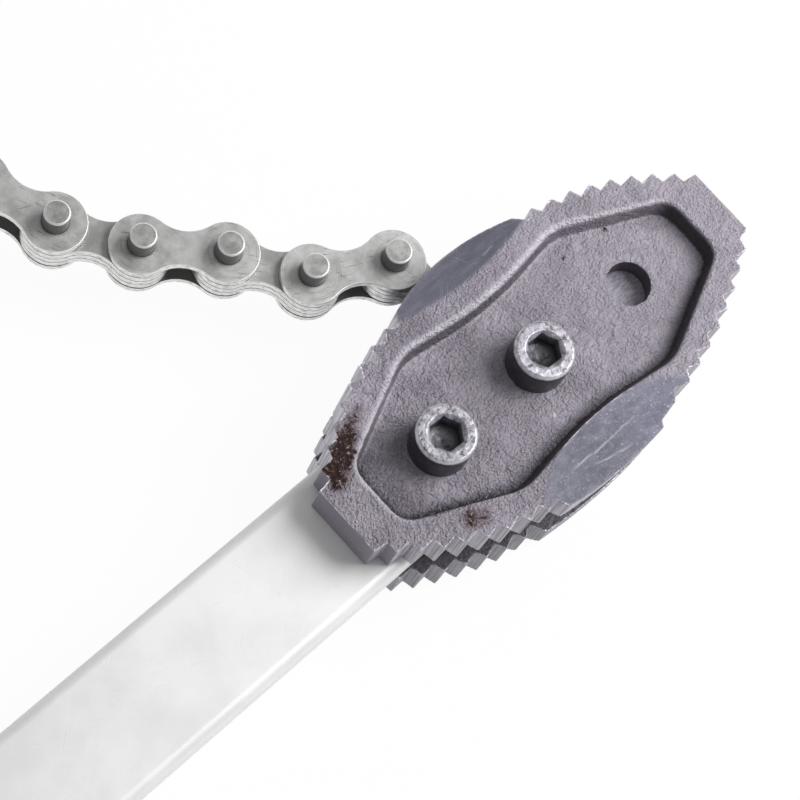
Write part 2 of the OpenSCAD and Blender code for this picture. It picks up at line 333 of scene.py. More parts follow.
# Jaw finish: dark casting, ground crescents, milled teeth
jawFinish = {
    "light": tint(162, 156, 167), "dark": tint(140, 134, 145), "hollow": tint(92, 87, 96),
    "peak": tint(190, 185, 196),
    # lip is a painted highlight; wall and foot are painted shade with some dirt; inner is painted shade between the
    # jaws
    "lip": tint(216, 211, 222), "inner": tint(84, 80, 86), "wall": tint(72, 66, 72), "foot": tint(52, 49, 53),
    # speck colours painted glints on the grain and the chips
    "soilAndShade": tint(100, 94, 102), "speck": tint(222, 218, 226), "pit": tint(46, 43, 47), "stain": tint(104, 88, 88),
    "ground": tint(104, 104, 118), "groundLight": tint(122, 122, 137), "groundPit": tint(84, 84, 96),
    "flank": tint(178, 175, 184), "flankDark": tint(132, 128, 138), "end": tint(146, 139, 151),
    "bare": tint(206, 202, 212),
    "rust": tint(46, 29, 27), "rustLight": tint(84, 58, 54), "rustFleck": tint(200, 190, 192),
    "cover": {"stain": 0.6, "foot": 0.95, "lip": 0.82, "hollow": 0.18, "peak": 0.3, "speck": 0.75, "mark": 0.9,
              "groundPit": 0.5, "fleck": 0.4, "scratch": 0.4, "hair": 0.22, "wear": 0.5},
    "chips": (((-40.9, -13.3), (-39.6, -12.8), 0.75), ((-60.5, 3.0), (-59.8, 3.2), 0.4),
              ((-22.5, -9.0), (-21.9, -8.9), 0.35)),
    "pits": (((-9.4, 15.8), (-7.9, 16.3), 0.7), ((-29.5, -17.2), (-28.7, -17.0), 0.45)),
    "scratches": (((-50.0, -26.4), (-22.0, -26.9), 0.55), ((-44.0, -28.9), (-28.0, -31.8), 0.45),
                  ((-27.5, 29.0), (-22.5, 29.6), 0.5)),
    "middle": -12.8 * mm,
    # faces near the middle, between the jaws, get painted shade
    "sunk": (17.0 * mm, 15.5 * mm), "betweenJawsShade": (8.0 * mm, 7.4 * mm, 0.0, 0.8),  # off the middle
    # painted light: lighter towards the tip, and lighter towards the handle to offset the darker shading of the
    # rougher grain
    "tipLight": (-50.0 * mm, 15.0 * mm, 1.0, 1.13), "handleFade": (-50.0 * mm, -75.0 * mm, 1.0, 1.14),
    # towards the handle: soil on the rim, painted shade on the recess floor
    "rimSoil": (-72.0 * mm, -100.0 * mm, 0.4), "floorShade": (-66.0 * mm, -88.0 * mm, 1.15), "soilAndShadeByTone": (-0.25, 0.6),
    "blotch": 90.0, "lumps": 1600.0, "relief": 0.82 * mm, "breakup": 0.7, "hairSize": 1.0, "stained": (0.0, 0.5),
    "grit": (10.0 * mm, -90.0 * mm, 0.86, 1.3),  # rougher towards the handle
    "streaks": (420.0, 1700.0, 0.87), "streaked": (-76.0 * mm, -92.0 * mm, 0.0, 0.7),
    # painted light on the tooth flanks: lighter on the chain side, painted shade on the rear jaw
    "chainSide": (0.0, 8.0 * mm), "chainSideLight": 0.6, "rearDepth": 3.0 * mm, "rearShade": 0.35,
    "milled": (1600.0, 1600.0, 40.0), "milledTone": (0.3, 0.62), "milledRelief": 0.2,
    "lapped": ((110.0, 420.0, 300.0), 0.12), "lappedNoise": (1.0, 4.0, 0.6), "lappedTone": (0.34, 0.72),
    "pitNoise": (900.0, 3.0, 0.6), "groundPits": (0.36, 0.26), "fleckNoise": 1500.0, "groundFlecks": (0.62, 0.72),
    "cloudNoise": (420.0, 4.0, 0.65), "groundCloud": (0.34, 0.66, 0.86, 1.12),
    "hookReflection": (-20.0 * mm, -40.0 * mm, 1.32, 0.76),  # painted reflection: the hook side's crescent is brighter by the hook
    "raggedNoise": (330.0, 6.0, 0.8, 0.6), "ragged": 2.4, "flake": (0.36, 0.62), "rustEdge": (0.01, 0.12),
    "crumbNoise": (1000.0, 4.0, 0.75), "crust": 1.6, "rustTone": (0.44, 0.62), "rustFlecks": (0.585, 0.65),
    "rough": 0.52, "flankRough": 0.14, "toneRough": 0.12, "rustRough": 0.3,
    "metal": 0.15, "flankMetal": 0.12, "wearMetal": 0.4, "gloss": 0.35, "smoothed": 0.9,
}


def castTone(axes, mask, grain, tone, look):  # the sand cast skin, with its dirt, painted shade and painted highlights
    along, cover = axes["X"], look["cover"]
    # painted light: lighter towards the tip and towards the handle
    gain = times(fade(along, *look["tipLight"]), fade(along, *look["handleFade"]))
    skin = scaled(mixColour(tone, look["dark"], look["light"]), gain)
    depth = calc("ABSOLUTE", minus(axes["Z"], look["middle"]))
    onRim, onFloor = (times(fade(along, start, end), top)
                      for start, end, top in (look["rimSoil"], look["floorShade"]))
    # soil on the rim and painted shade on the recess floor, towards the handle
    soilAndShade = mixValue(fade(depth, *look["sunk"]), onRim, onFloor)
    slope, level = look["soilAndShadeByTone"]
    skin = coat(skin, look["soilAndShade"], soilAndShade, plus(times(tone, slope), level))
    skin = coat(skin, look["stain"], fade(mask["rust"], *look["stained"]), cover["stain"])
    # painted shade and dirt on the recess walls and bores
    skin = mixColour(mask["wall"], skin, look["wall"])
    # painted shade and dirt at the foot of the recess, and the painted highlight on its lip
    for key in ("foot", "lip"):
        skin = coat(skin, look[key], mask[key], cover[key])
    rougher = fade(along, *look["grit"])
    skin = coat(skin, look["hollow"], grain["Hollow"], times(rougher, cover["hollow"]))
    peaks = times(grain["Peak"], without(mask["wall"]))
    skin = coat(skin, look["peak"], peaks, times(rougher, cover["peak"]))
    # painted shade on the faces between the two jaws
    skin = mixColour(fade(depth, *look["betweenJawsShade"]), skin, look["inner"])
    # painted glints on the cast skin
    return coat(skin, look["speck"], grain["Glint"], cover["speck"])


def toothTone(axes, milled, chainSide, look):  # milled flanks of the teeth, painted lighter on the chain side, with painted shade on the rear jaw
    tone = mixColour(fade(milled, *look["milledTone"]), look["flankDark"], look["flank"])
    behind = fade(axes["Z"], look["middle"], look["middle"] - look["rearDepth"])
    rear = times(behind, without(chainSide))
    lit = plus(1.0, times(chainSide, look["chainSideLight"]))
    return scaled(tone, minus(lit, times(rear, look["rearShade"])))


def crescentTone(place, along, chainSide, hair, look):  # ground and scratched, with a painted reflection on the hook side's crescent
    cover = look["cover"]
    lapped = speckle(stretch(place, *look["lapped"]), *look["lappedNoise"])
    tone = mixColour(fade(lapped, *look["lappedTone"]), look["ground"], look["groundLight"])
    pits = fade(speckle(place, *look["pitNoise"]), *look["groundPits"])
    tone = coat(tone, look["groundPit"], pits, cover["groundPit"])
    flecks = fade(speckle(place, look["fleckNoise"]), *look["groundFlecks"])
    tone = coat(tone, look["bare"], times(flecks, without(chainSide)), cover["fleck"])
    cloud = fade(speckle(place, *look["cloudNoise"]), *look["groundCloud"])
    hookReflection = times(fade(along, *look["hookReflection"]), cloud)
    tone = scaled(tone, mixValue(chainSide, hookReflection, 1.0))
    marks = hair
    for start, end, width in look["scratches"]:
        marks = most(marks, times(stroke(place, start, end, width), cover["scratch"]))
    return mixColour(marks, tone, look["bare"])


def jawMaterial(look):
    material, shader, place = startMaterial("jawCasting")
    keys = ("ground", "flank", "end", "wall", "edge", "rust", "lip", "foot")
    mask, cover = {key: meshMask(key) for key in keys}, look["cover"]
    grain = effect(castGrain, {"Vector": place, "Lumps": look["lumps"]})
    tone = blotches(place, look["blotch"])
    wear = wornEdge(place, mask["edge"], look["breakup"])
    hair = hairs(place, look["hairSize"], cover["hair"])
    axes = axesOf(place)
    along, chainSide = axes["X"], fade(axes["Y"], *look["chainSide"])
    milled = speckle(stretch(place, look["milled"]), 1.0)

    skin = castTone(axes, mask, grain, tone, look)
    for spots, key in ((look["chips"], "speck"), (look["pits"], "pit")):
        for start, end, width in spots:
            skin = coat(skin, look[key], stroke(place, start, end, width), cover["mark"])
    skin = mixColour(mask["flank"], skin, toothTone(axes, milled, chainSide, look))
    skin = mixColour(mask["end"], skin, look["end"])
    skin = mixColour(mask["ground"], skin, crescentTone(place, along, chainSide, hair, look))
    skin = coat(skin, look["bare"], wear, cover["wear"])

    ragged = times(centred(speckle(place, *look["raggedNoise"])), look["ragged"])
    flake = fade(plus(mask["rust"], ragged), *look["flake"])
    rusty = times(flake, fade(mask["rust"], *look["rustEdge"]))
    crumbs = speckle(place, *look["crumbNoise"])
    rust = mixColour(fade(crumbs, *look["rustTone"]), look["rust"], look["rustLight"])
    rust = mixColour(fade(crumbs, *look["rustFlecks"]), rust, look["rustFleck"])
    feed(mixColour(rusty, skin, rust), shader["Base Color"])

    rough = minus(look["rough"], times(mask["flank"], look["flankRough"]))
    rough = plus(rough, times(centred(tone), look["toneRough"]))
    feed(plus(rough, times(rusty, look["rustRough"])), shader["Roughness"])
    shine = plus(times(wear, look["wearMetal"]), look["metal"])
    shine = plus(times(mask["flank"], look["flankMetal"]), shine)
    feed(times(shine, without(rusty)), shader["Metallic"])
    feed(look["gloss"], shader["Specular IOR Level"])

    smooth = most(mask["ground"], mask["flank"], mask["end"])
    streaks = centred(speckle(combed(place, *look["streaks"]), 1.0))
    streaks = times(streaks, fade(along, *look["streaked"]))
    crust = times(rusty, times(centred(crumbs), look["crust"]))
    height = times(grain["Height"], fade(along, *look["grit"]))
    height = times(plus(height, streaks, crust), without(times(smooth, look["smoothed"])))
    lines = times(centred(milled), mask["flank"], look["milledRelief"])
    emboss(shader, plus(height, lines), look["relief"])
    return material


# Screw finish: blackened, rubbed bright on top
screwFinish = {
    "black": tint(44, 43, 47), "blackLight": tint(60, 58, 63), "top": tint(148, 145, 155),
    "topLight": tint(190, 188, 197), "bare": tint(234, 232, 240), "soot": tint(62, 59, 66),
    "socket": tint(58, 56, 61),
    "blotch": 420.0, "breakup": 1.1, "hairSize": 2.5, "hair": 0.5,
    "rubNoise": (620.0, 5.0, 0.72, 0.3), "rubbed": (0.56, 0.68), "sooty": (0.49, 0.38), "sootCover": 0.85,
    "relief": 0.1 * mm,
    "topBright": 0.45, "metal": (0.7, 0.2), "rough": (0.16, 0.22),  # share of the mask, and what is there without it
}


def screwMaterial(look):
    material, shader, place = startMaterial("screwBlack")
    mask = {key: meshMask(key) for key in ("top", "edge", "socket")}
    tone = blotches(place, look["blotch"])
    wear = wornEdge(place, mask["edge"], look["breakup"])
    hair = hairs(place, look["hairSize"], look["hair"])
    side = mixColour(tone, look["black"], look["blackLight"])
    side = mixColour(mask["socket"], side, look["socket"])
    rubbed = speckle(place, *look["rubNoise"])
    face = mixColour(tone, look["top"], look["topLight"])
    face = mixColour(fade(rubbed, *look["rubbed"]), face, look["bare"])
    face = coat(face, look["soot"], fade(rubbed, *look["sooty"]), look["sootCover"])
    skin = mixColour(mask["top"], side, face)
    skin = mixColour(most(wear, times(hair, mask["top"])), skin, look["bare"])
    bright = most(times(mask["top"], look["topBright"]), wear)
    feed(skin, shader["Base Color"])
    for value, key, label in ((bright, "metal", "Metallic"), (tone, "rough", "Roughness")):
        share, least = look[key]
        feed(plus(times(value, share), least), shader[label])
    emboss(shader, rubbed, look["relief"])
    return material


# Steel finishes: chain, pins, nuts and handle
plateFinish = {
    "dark": tint(170, 170, 169), "light": tint(198, 198, 197), "bare": tint(240, 240, 239),
    "scratchTone": tint(104, 103, 102), "rubTone": tint(92, 91, 90), "grime": tint(70, 69, 68),
    # sheared sides: the sheared finish painted light as a painted reflection of the white sheet; hidden: painted
    # shade inside the link
    "shearedSheen": tint(238, 238, 237), "shearedSheenDark": tint(188, 188, 187), "hidden": tint(120, 119, 118),
    "blotch": 190.0, "scratch": 0.55, "pale": 0.4, "rub": 0.85, "rough": 0.36, "edge": 0.9, "metal": 0.5,
    "pinGap": 22.0 * mm, "ringIn": (4.1 * mm, 5.0 * mm), "ringOut": (8.0 * mm, 6.6 * mm), "ringWaver": 0.9 * mm,
    "groove": (0.48, 0.66), "rubPatch": (0.42, 0.62), "scuff": (0.58, 0.68), "scuffPatch": (0.5, 0.62),
    "scuffCover": 0.85, "pinShadeAndGrime": (4.2 * mm, 3.6 * mm), "pinShadeAndGrimeCover": 0.5, "gapCover": 0.9,
    "torn": (0.36, 0.56), "shearedMetal": 0.4,
    "waverNoise": 260.0, "grooveNoise": (2400.0, 3.0, 0.7), "rubNoise": 130.0, "patchNoise": 95.0,
    "scuffed": ((130.0, 1500.0, 1.0), 0.12), "scuffNoise": (1.0, 3.0, 0.65),
    "tornAlong": (700.0, 700.0, 2200.0), "tornNoise": (1.0, 3.0, 0.6),
}
innerFinish = dict(plateFinish, dark=tint(160, 160, 159), light=tint(186, 186, 185), rub=0.4)
pinFinish = {
    "dark": tint(146, 146, 145), "light": tint(178, 178, 177), "bare": tint(236, 236, 235),
    # sideShade: painted shade on the pins' sides
    "scratchTone": tint(112, 111, 110), "sideShade": tint(104, 103, 102), "sideShadeCover": 0.85,
    "blotch": 420.0, "scratch": 0.35, "pale": 0.3, "rough": 0.34, "edge": 0.9, "metal": 0.5,
}
nutFinish = dict(pinFinish, sideShade=None, dark=tint(92, 90, 94), light=tint(116, 114, 118), bare=tint(190, 188, 192),
                 rough=0.38)
handleFinish = {
    "dark": tint(233, 233, 233), "light": tint(240, 240, 240), "bare": tint(250, 250, 250),
    "scratchTone": tint(216, 216, 216),
    "blotch": 60.0, "scratch": 0.5, "pale": 0.4, "rough": 0.42, "edge": 0.4, "metal": 0.25,
    "coveredEnd": (-62.0 * mm, -55.0 * mm), "covered": tint(182, 178, 191), "coveredDark": tint(148, 144, 156),
    "scaled": ((500.0, 1500.0, 500.0), 0.9), "scaleNoise": (1.0, 3.0, 0.65), "scale": (0.38, 0.62),
    "scaleRough": 0.3, "scaleRelief": 6.0,
}
steelSkin = {
    "relief": 0.03 * mm, "scratch": -0.6, "grainNoise": 1600.0, "grain": 0.3, "wear": -0.5, "toneRough": 0.14,
    "breakup": 0.5, "hairSize": 1.0, "paleSize": 1.4, "paleTurn": ((1.0, 1.0, 1.0), 1.1),
}


def coverEnd(place, layer, look):  # the end that the jaws cover was never plated
    hidden = fade(axesOf(place)["X"], *look["coveredEnd"])
    scale = speckle(stretch(place, *look["scaled"]), *look["scaleNoise"])
    raw = mixColour(fade(scale, *look["scale"]), look["coveredDark"], look["covered"])
    layer["skin"] = mixColour(hidden, layer["skin"], raw)
    layer["rough"] = plus(layer["rough"], times(hidden, look["scaleRough"]))
    layer["height"] = plus(layer["height"], times(scale, hidden, look["scaleRelief"]))
    layer["metal"] = times(without(hidden), layer["metal"])


def wearLink(place, layer, look):  # rub rings round the two pins, in the link's own plane
    flat = put("UVMap", uv_map="linkPlane").outputs["UV"]
    away = [put("VectorMath", {0: flat, 1: (x, 0.0, 0.0)}, operation="DISTANCE").outputs["Value"]
            for x in (0.0, look["pinGap"])]
    ring = calc("MINIMUM", *away)
    waver = plus(ring, times(speckle(place, look["waverNoise"]), look["ringWaver"]))
    groove = speckle(put("CombineXYZ", {0: waver}).outputs[0], *look["grooveNoise"])
    band = times(fade(ring, *look["ringIn"]), fade(ring, *look["ringOut"]))
    patch = fade(speckle(place, look["rubNoise"]), *look["rubPatch"])
    rub = times(fade(groove, *look["groove"]), band, patch)
    skin = coat(layer["skin"], look["rubTone"], rub, look["rub"])
    scuff = speckle(stretch(flat, *look["scuffed"]), *look["scuffNoise"])
    patch = fade(speckle(place, look["patchNoise"]), *look["scuffPatch"])
    scuffs = times(fade(scuff, *look["scuff"]), patch)
    skin = coat(skin, look["scratchTone"], scuffs, look["scuffCover"])
    # painted shade and grime in a ring at the foot of each pin
    skin = coat(skin, look["rubTone"], fade(ring, *look["pinShadeAndGrime"]), look["pinShadeAndGrimeCover"])
    layer["height"] = plus(layer["height"], times(plus(rub, scuffs), steelSkin["wear"]))

    shearedSheen, gap, inside = (meshMask(key) for key in ("shearedSheen", "groove", "inside"))
    torn = speckle(stretch(place, look["tornAlong"]), *look["tornNoise"])
    cut = mixColour(fade(torn, *look["torn"]), look["shearedSheenDark"], look["shearedSheen"])
    # sheared sides, painted light as a painted reflection of the white sheet
    skin = mixColour(shearedSheen, skin, cut)
    # painted shade on the link's inner faces
    skin = mixColour(inside, skin, look["hidden"])
    layer["skin"] = coat(skin, look["grime"], gap, look["gapCover"])
    layer["wear"] = times(layer["wear"], without(gap))
    cutMetal = times(shearedSheen, without(gap), look["shearedMetal"])
    layer["metal"] = plus(cutMetal, layer["metal"])


def darkenSides(layer, look):  # turned pins: painted shade round the side, and the rim painted bright, as rubbed metal and painted highlight
    side, rim = meshMask("side"), meshMask("rim")
    layer["skin"] = coat(layer["skin"], look["sideShade"], side, look["sideShadeCover"])
    layer["wear"] = most(times(layer["wear"], without(side)), rim)


def steelMaterial(name, look):
    material, shader, place = startMaterial(name)
    edge, turned = meshMask("edge"), stretch(place, *steelSkin["paleTurn"])
    tone = blotches(place, look["blotch"])
    hair = hairs(place, steelSkin["hairSize"], look["scratch"])
    pale = hairs(turned, steelSkin["paleSize"], look["pale"])
    skin = mixColour(tone, look["dark"], look["light"])
    skin = mixColour(hair, skin, look["scratchTone"])
    grain = times(speckle(place, steelSkin["grainNoise"]), steelSkin["grain"])
    layer = {
        "skin": mixColour(pale, skin, look["bare"]),
        "wear": wornEdge(place, edge, steelSkin["breakup"]),
        "rough": plus(times(tone, steelSkin["toneRough"]), look["rough"]),
        "height": plus(times(hair, steelSkin["scratch"]), grain), "metal": look["metal"],
    }
    if "coveredEnd" in look:
        coverEnd(place, layer, look)
    if "pinGap" in look:
        wearLink(place, layer, look)
    if look.get("sideShade"):
        darkenSides(layer, look)
    feed(coat(layer["skin"], look["bare"], layer["wear"], look["edge"]), shader["Base Color"])
    feed(layer["rough"], shader["Roughness"])
    feed(layer["metal"], shader["Metallic"])
    emboss(shader, layer["height"], steelSkin["relief"])
    return material


jawCasting = jawMaterial(jawFinish)
screwBlack = screwMaterial(screwFinish)
outerPlateSteel = steelMaterial("outerPlateSteel", plateFinish)
innerPlateSteel = steelMaterial("innerPlateSteel", innerFinish)
pinSteel = steelMaterial("pinSteel", pinFinish)
nutSteel = steelMaterial("nutSteel", nutFinish)
handleSteel = steelMaterial("handleSteel", handleFinish)
print("finishes ready")


# Making pieces
making = {
    "merge": 0.001 * mm, "flat": math.radians(0.5), "sharp": math.radians(28), "halfWorn": 0.25,
    "levelSlack": 0.01 * mm, "normalWeight": 90, "tiny": 1e-12,
}


def mergedCopy(name):
    shape = bmesh.new()
    shape.from_mesh(cadNodes[name].data)
    bmesh.ops.remove_doubles(shape, verts=shape.verts[:], dist=making["merge"])
    return shape


def placePiece(shape, name, node, body, material):
    mesh = shape
    if isinstance(shape, bmesh.types.BMesh):
        mesh = bpy.data.meshes.new(name)
        shape.to_mesh(mesh)
        shape.free()
    mesh.materials.clear()
    mesh.materials.append(material)
    piece = bpy.data.objects.new(name, mesh)
    scene.collection.objects.link(piece)
    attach(piece, body)
    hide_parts(node)
    return piece


def softEdges(shape, width, segments, outerWidth=None):  # rounded edges, with the rounding marked for wear
    edge = shape.verts.layers.float.new("edge")
    bmesh.ops.dissolve_limit(shape, angle_limit=making["flat"], verts=shape.verts[:], edges=shape.edges[:])
    sharp = [e for e in shape.edges if len(e.link_faces) == 2 and e.calc_face_angle() > making["sharp"]]
    levels = [vert.co.z for vert in shape.verts]
    low, high = min(levels) + making["levelSlack"], max(levels) - making["levelSlack"]
    outer = {e for e in sharp if outerWidth and not all(low < vert.co.z < high for vert in e.verts)}
    for chosen, reach in ((list(outer), outerWidth), ([e for e in sharp if e not in outer], width)):
        if not chosen:
            continue
        made = bmesh.ops.bevel(shape, geom=chosen, offset=reach, offset_type="OFFSET", affect="EDGES",
                               segments=segments, profile=0.5, material=-1, clamp_overlap=True)
        rounded = set(made["faces"])
        for vert in made["verts"]:
            vert[edge] = 1.0 if all(face in rounded for face in vert.link_faces) else making["halfWorn"]
    for face in shape.faces:
        face.smooth = True


def evenNormals(piece):
    weighted = piece.modifiers.new("evenNormals", "WEIGHTED_NORMAL")
    weighted.weight = making["normalWeight"]
    return piece


def applied(piece):  # mesh of a piece with its modifiers worked in
    graph = bpy.context.evaluated_depsgraph_get()
    mesh = bpy.data.meshes.new_from_object(piece.evaluated_get(graph))
    bpy.data.objects.remove(piece)
    return mesh


# Jaws: cast skin over the machined form
jaw = {
    "depth": 9, "fill": 0.56,  # fineness of the skin
    "groundSlope": (0.86, 0.95), "wallSlope": (0.05, 0.6), "flatSlope": 0.99, "lineStep": 0.5 * mm,
    "lipReach": 1.1 * mm, "lipPasses": 6, "footReach": 0.9 * mm, "footPasses": 5,
    "relax": 0.5, "allRelax": 0.4, "allPasses": 2,
    "rubbed": {"reach": 2.2, "from": (-74.0, 13.0), "to": (2.0, 26.0), "taper": (0.0, 3.0, 6.0), "passes": 6},
    "lumps": ((3.0 * mm, 0.22 * mm), (1.2 * mm, 0.2 * mm)),  # size and depth
    "lumpDetail": 2, "machinedLumps": 0.45,
    "holes": ((0.0, 0.0), (-34.5 * mm, 0.0), (-69.0 * mm, 0.0)), "holeReach": 7.0 * mm, "sharp": math.radians(48),
}
jawRust = (  # x, y and reach in mm, and weight
    (-80.5, 19.0, 2.0, 0.45), (-83.0, 18.0, 2.4, 0.55), (-86.0, 16.6, 2.8, 0.72), (-88.6, 15.4, 3.6, 0.86),
    (-91.0, 13.8, 4.2, 0.86), (-93.0, 12.1, 4.4, 0.86), (-95.4, 12.1, 4.4, 0.9), (-97.5, 15.2, 2.8, 0.9),
    (-96.5, 9.0, 3.2, 0.86), (-77.6, -19.4, 3.4, 0.58), (-75.2, -20.6, 2.6, 0.5), (5.7, 14.6, 0.8, 0.6),
)
jawShadingAndDirt = {  # painted shade, painted highlights, dirt and rust on the jaw; mm on the plan, as a start and a width, and shares
    "chainSide": (7.5, 3.0), "hookSide": (6.0, 6.0), "byTip": (-14.0, 8.0), "byHandle": (60.0, 8.0),
    "darkFromLip": 0.3, "darkFromWorn": 1.3, "darkFromHandle": -0.6, "handleFrom": -80.0, "darkWidth": 0.8,
    "tipLoss": 0.65, "chainLoss": 0.3, "handleLoss": 0.6, "lineAt": 1.0, "lineWidth": 0.55, "bore": 0.8,
    "lip": 1.3, "wornLip": (1.35, 1.2), "hookLip": 0.8, "footLip": (0.45, 1.1, 0.5),
    "tipLip": (18.0, 3.0), "tipLipLoss": 0.7,
    "footReach": 1.6, "foot": 1.4, "footFrom": (62.0, 14.0), "hookFoot": 1.3, "hookFootWider": 1.5,
    "hookFootFrom": (40.0, 30.0), "hookFootLeast": 0.7, "edge": (0.05, 0.2), "groundPasses": 4,
    "rustFalls": 1.3, "rustUp": 0.3,
}


def ramp(values, start, width):  # 0 as far as start, 1 from a width beyond it
    return np.clip((values - start) / width, 0, 1)


def recessLines(shape):  # points along the lip of the recess and along its foot
    found = []
    low, high = jaw["wallSlope"]
    for edge in shape.edges:
        slopes = sorted(abs(face.normal.z) for face in edge.link_faces)
        if len(slopes) == 2 and slopes[1] > jaw["flatSlope"] and low < slopes[0] < high:
            a, b = (vert.co for vert in edge.verts)
            steps = max(1, round((b - a).length / jaw["lineStep"]))
            found += [a.lerp(b, i / steps) for i in range(steps + 1)]
    middle = sum(abs(point.z) for point in found) / len(found)
    trees = []
    for side in (1, -1):
        points = [point for point in found if (abs(point.z) - middle) * side > 0]
        trees.append(KDTree(len(points)))
        for i, point in enumerate(points):
            trees[-1].insert(point, i)
        trees[-1].balance()
    return trees


def relax(shape, verts, factor, passes=1):
    for _ in range(passes):
        bmesh.ops.smooth_vert(shape, verts=verts, factor=factor, use_axis_x=True, use_axis_y=True, use_axis_z=True)


def spread(values, ends, passes):  # blurs a mask over the mesh
    for _ in range(passes):
        total, share = np.zeros(len(values)), np.zeros(len(values))
        for a, b in ((0, 1), (1, 0)):
            np.add.at(total, ends[:, a], values[ends[:, b]])
            np.add.at(share, ends[:, a], 1)
        values = (values + total / np.maximum(share, 1)) / 2
    return values


def jawSkin(node, plain):  # even mesh over the machined form
    mesh = bpy.data.meshes.new(node)
    plain.to_mesh(mesh)
    blank = bpy.data.objects.new(node + "_blank", mesh)
    scene.collection.objects.link(blank)
    skin = blank.modifiers.new("skin", "REMESH")
    skin.mode, skin.octree_depth, skin.scale = "SHARP", jaw["depth"], jaw["fill"]
    skin.use_remove_disconnected = False
    return applied(blank)


def surfaceKind(point, normal):
    slope = abs(normal.z)
    if jaw["groundSlope"][0] < slope < jaw["groundSlope"][1]:
        return "ground"
    if slope > jaw["wallSlope"][0]:
        return "wall" if slope < jaw["wallSlope"][1] else "cast"
    if min((point.xy - Vector(hole)).length for hole in jaw["holes"]) < jaw["holeReach"]:
        return "bore"
    return "end" if abs(normal.x) > jaw["flatSlope"] else "flank"


def roundRecess(shape, lipAway, footAway, worn):
    rubbed = jaw["rubbed"]
    start, stop = rubbed["from"][0], rubbed["to"][0]
    lipVerts = [vert for vert, away in zip(shape.verts, lipAway) if away < jaw["lipReach"]]
    footVerts = [vert for vert, away in zip(shape.verts, footAway) if away < jaw["footReach"]]
    for inset in rubbed["taper"]:  # the chain side's lip is rubbed round between its shoulders
        zone = [vert for vert, near, away in zip(shape.verts, worn, lipAway / mm)
                if near and away < rubbed["reach"] and start + inset < vert.co.x / mm < stop - inset]
        relax(shape, zone, jaw["relax"], rubbed["passes"])
    relax(shape, lipVerts, jaw["relax"], jaw["lipPasses"])
    relax(shape, footVerts, jaw["relax"], jaw["footPasses"])
    relax(shape, shape.verts[:], jaw["allRelax"], jaw["allPasses"])


def castLumps(node, mesh, kinds):
    rough = bpy.data.objects.new(node + "_rough", mesh)
    scene.collection.objects.link(rough)
    skinGroup = rough.vertex_groups.new(name="castSkin")
    for names, share in ((("cast", "wall", "bore"), 1.0), (("flank", "end"), jaw["machinedLumps"])):
        skinGroup.add([i for i, kind in enumerate(kinds) if kind in names], share, "REPLACE")
    for size, depth in jaw["lumps"]:
        clouds = bpy.data.textures.new(node + "_lumps", "CLOUDS")
        clouds.noise_scale, clouds.noise_depth = size, jaw["lumpDetail"]
        lumps = rough.modifiers.new("lumps", "DISPLACE")
        lumps.texture, lumps.texture_coords = clouds, "LOCAL"
        lumps.vertex_group, lumps.strength = "castSkin", depth
    return applied(rough)


def meshArrays(mesh):
    count = len(mesh.vertices)
    places, normals, ends = np.zeros(count * 3), np.zeros(count * 3), np.zeros(len(mesh.edges) * 2, int)
    mesh.vertices.foreach_get("co", places)
    mesh.vertices.foreach_get("normal", normals)
    mesh.edges.foreach_get("vertices", ends)
    return places.reshape(-1, 3), normals.reshape(-1, 3), ends.reshape(-1, 2)


def edgeBend(places, normals, ends):  # how far the skin bends outwards at each point
    along = places[ends[:, 1]] - places[ends[:, 0]]
    along /= np.linalg.norm(along, axis=1)[:, None] + making["tiny"]
    bend, share = np.zeros(len(places)), np.zeros(len(places))
    for side, sign in ((0, -1), (1, 1)):
        np.add.at(bend, ends[:, side], sign * np.sum(normals[ends[:, side]] * along, axis=1))
        np.add.at(share, ends[:, side], 1)
    return spread(bend / np.maximum(share, 1), ends, 1)


